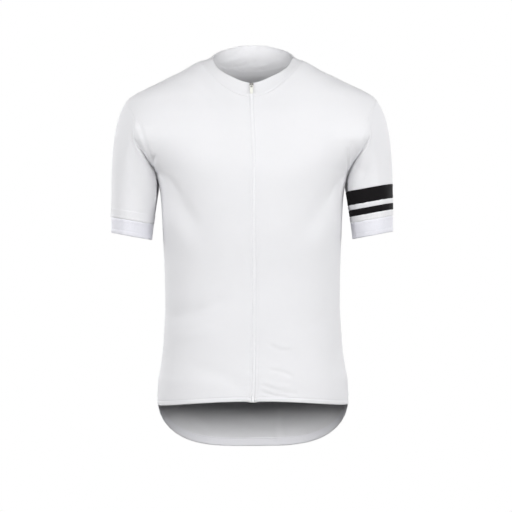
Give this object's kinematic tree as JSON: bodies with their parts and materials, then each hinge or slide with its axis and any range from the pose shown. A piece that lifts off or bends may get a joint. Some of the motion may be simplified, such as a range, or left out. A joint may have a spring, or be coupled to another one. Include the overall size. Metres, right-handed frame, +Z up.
{
  "type": "short-sleeved cycling jersey",
  "caption": "White short-sleeved cycling jersey with a full front zip, low stand collar, rear pockets, black hoops on one sleeve and a dropped tail, filled out as if worn.",
  "frame": {"origin": "centre between the points where the shoulders meet the sides of the neck, 3.6 mm below them, where the wearer's shoulders hold the jersey up", "axes": "-Y is the front, +X is the wearer's left, +Z is up"},
  "size_m": [0.522, 0.2324, 0.7601],
  "materials": {
    "white_knit": "fine matt polyester knit",
    "black_knit": "fine matt polyester knit",
    "elastic": "smooth elastic band",
    "zip_tape": "woven polyester tape",
    "zip_coil": "satin nylon",
    "slider_metal": "satin die-cast zinc",
    "tab_enamel": "satin cream enamel"
  },
  "bodies": {
    "garment": {"back": "white_knit", "front_left": "white_knit", "front_right": "white_knit", "collar": "white_knit", "sleeve_left": "white_knit", "sleeve_right": "white_knit", "sleeve_left_lower": "white_knit", "hoop_left_wide": "black_knit", "hoop_left_narrow": "black_knit", "hoop_left_gap": "white_knit", "cuff_left": "elastic", "cuff_right": "elastic", "pocket_panel": "white_knit", "pocket_binding": "elastic", "hem_tape": "elastic", "zip_tape_left": "zip_tape", "zip_tape_right": "zip_tape", "zip_chain": "zip_coil", "zip_box": "zip_coil", "zip_slider": "slider_metal"},
    "pull_tab": {"zip_pull": "tab_enamel"}
  },
  "joints": [
    {"name": "tab_swing", "type": "hinge", "parent": "garment", "child": "pull_tab", "pos_m": [0, -0.06953, -0.04862], "axis": [-1, 0, 0], "range_deg": [0, 130]}
  ]
}
